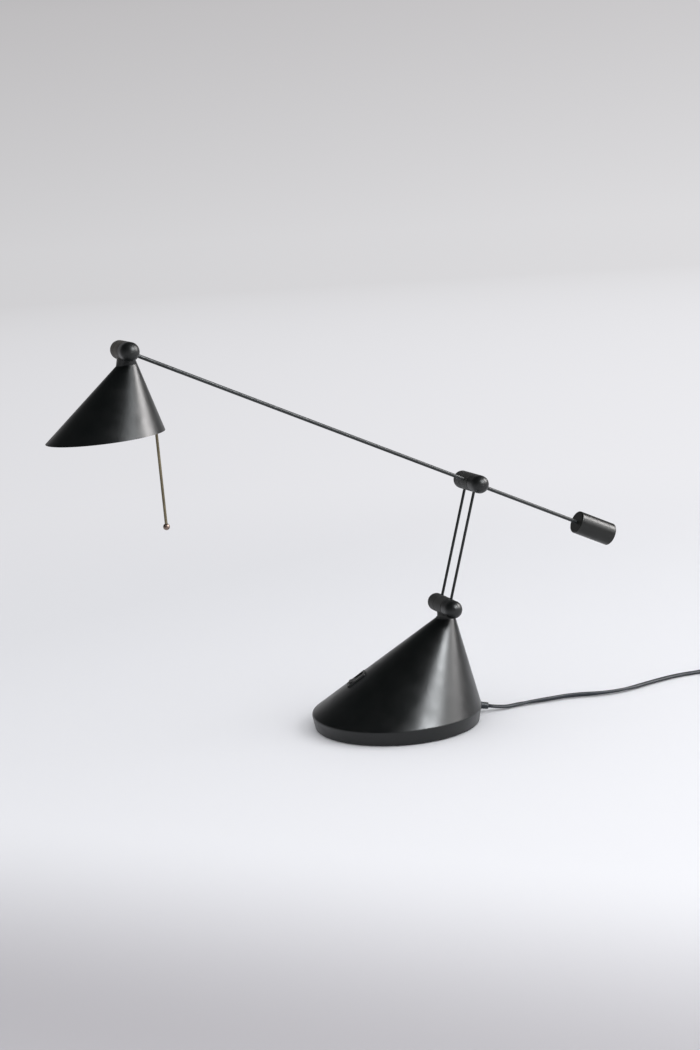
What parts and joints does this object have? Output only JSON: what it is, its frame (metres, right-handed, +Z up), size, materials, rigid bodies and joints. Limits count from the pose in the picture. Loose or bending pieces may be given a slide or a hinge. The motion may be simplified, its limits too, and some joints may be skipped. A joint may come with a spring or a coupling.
{
  "type": "balance desk lamp",
  "caption": "Balance desk lamp: oblique cone base, parallel struts, long thin arm with a sliding counterweight, oblique cone shade with a thin handle rod.",
  "frame": {"origin": "middle of the base's round underside, on the surface that the lamp stands on", "axes": "+Z up; the base's long slope with its switch looks to -X and the flex leaves at +X; the arm's plane is turned 18.5 degrees about +Z from the XZ plane, with the shade towards -X and -Y"},
  "size_m": [0.7142, 0.2692, 0.3775],
  "materials": {
    "base_paint": "satin black stove enamel on steel",
    "shade_paint": "spun aluminium, satin black enamel",
    "barrel_black": "turned aluminium, matt black anodised",
    "cap_black": "moulded, polished black",
    "rod_black": "drawn steel, semi-matt black lacquer",
    "weight_black": "turned steel, blacked and waxed",
    "brass": "drawn brass, lightly tarnished",
    "zinc_steel": "zinc plated",
    "black_screw": "blacked steel",
    "plate_steel": "zinc plated sheet",
    "pad_rubber": "cellular rubber",
    "laminations": "varnished silicon steel laminations",
    "copper": "enamelled copper",
    "nylon": "natural nylon",
    "bushing_black": "black acetal",
    "switch_black": "moulded, fine satin",
    "ceramic": "unglazed steatite",
    "bulb_quartz": "clear quartz",
    "pin_metal": "nickel plated",
    "flex_black": "flexible PVC sheath",
    "plug_black": "moulded PVC"
  },
  "bodies": {
    "base": {"base_shell": "base_paint", "base_plate": "plate_steel", "base_pad": "pad_rubber", "base_screws": "zinc_steel", "transformer_core": "laminations", "transformer_bobbin": "nylon", "transformer_winding": "copper", "transformer_clamp": "zinc_steel", "transformer_screws": "zinc_steel", "terminal_block": "nylon", "switch_housing": "switch_black", "cord_strain_relief": "flex_black", "neck_bushing": "bushing_black", "cord_lead": "flex_black", "cord_coil": "flex_black", "plug_body": "plug_black", "plug_pins": "pin_metal"},
    "switch": {"switch_rocker": "switch_black"},
    "turret": {"lower_hub": "barrel_black", "swivel_stem": "zinc_steel", "swivel_washer": "zinc_steel", "swivel_nut": "zinc_steel", "lower_bolt": "zinc_steel", "lower_nuts": "zinc_steel", "lower_insulators": "nylon"},
    "struts": {"strut_left": "rod_black", "strut_right": "rod_black", "lower_knuckle_left": "barrel_black", "lower_knuckle_right": "barrel_black", "upper_knuckle_left": "barrel_black", "upper_knuckle_right": "barrel_black", "lower_end_caps": "cap_black", "upper_end_caps": "cap_black"},
    "arm": {"upper_hub": "barrel_black", "upper_bolt": "zinc_steel", "upper_nuts": "zinc_steel", "upper_insulators": "nylon", "arm_rod": "rod_black", "arm_core": "copper", "arm_lock_screw": "black_screw", "head_hub": "barrel_black", "head_bolt": "zinc_steel", "head_nuts": "zinc_steel", "head_insulators": "nylon"},
    "weight": {"counterweight": "weight_black", "counterweight_screw": "black_screw"},
    "head": {"head_knuckle_left": "barrel_black", "head_knuckle_right": "barrel_black", "head_end_caps": "cap_black", "shade_saddle": "shade_paint", "shade": "shade_paint", "shade_screw": "zinc_steel", "lampholder_bracket": "zinc_steel", "lampholder": "ceramic", "bulb_glass": "bulb_quartz", "bulb_pins": "pin_metal", "handle_rod": "brass", "handle_ball": "brass", "handle_clip": "zinc_steel"}
  },
  "joints": [
    {"name": "switch_rock", "type": "hinge", "parent": "base", "child": "switch", "pos_m": [-0.03494, 0, 0.04251], "axis": [0, -1, 0], "range_deg": [0, 20]},
    {"name": "neck_swivel", "type": "hinge", "parent": "base", "child": "turret", "pos_m": [0.0505, 0, 0.109], "axis": [0, 0, 1], "range_deg": [-160, 160]},
    {"name": "strut_tilt", "type": "hinge", "parent": "turret", "child": "struts", "pos_m": [0.0505, 0, 0.109], "axis": [-0.3173, 0.9483, 0], "range_deg": [-30, 30]},
    {"name": "arm_tilt", "type": "hinge", "parent": "struts", "child": "arm", "pos_m": [0.08134, 0.01032, 0.22243], "axis": [0.3173, -0.9483, 0], "range_deg": [-35, 35]},
    {"name": "head_tilt", "type": "hinge", "parent": "arm", "child": "head", "pos_m": [-0.21689, -0.08947, 0.36908], "axis": [-0.3173, 0.9483, 0], "range_deg": [-15, 75]},
    {"name": "counterweight_slide", "type": "slide", "parent": "arm", "child": "weight", "axis": [-0.8595, -0.2876, 0.4226], "range_m": [0, 0.075]}
  ]
}
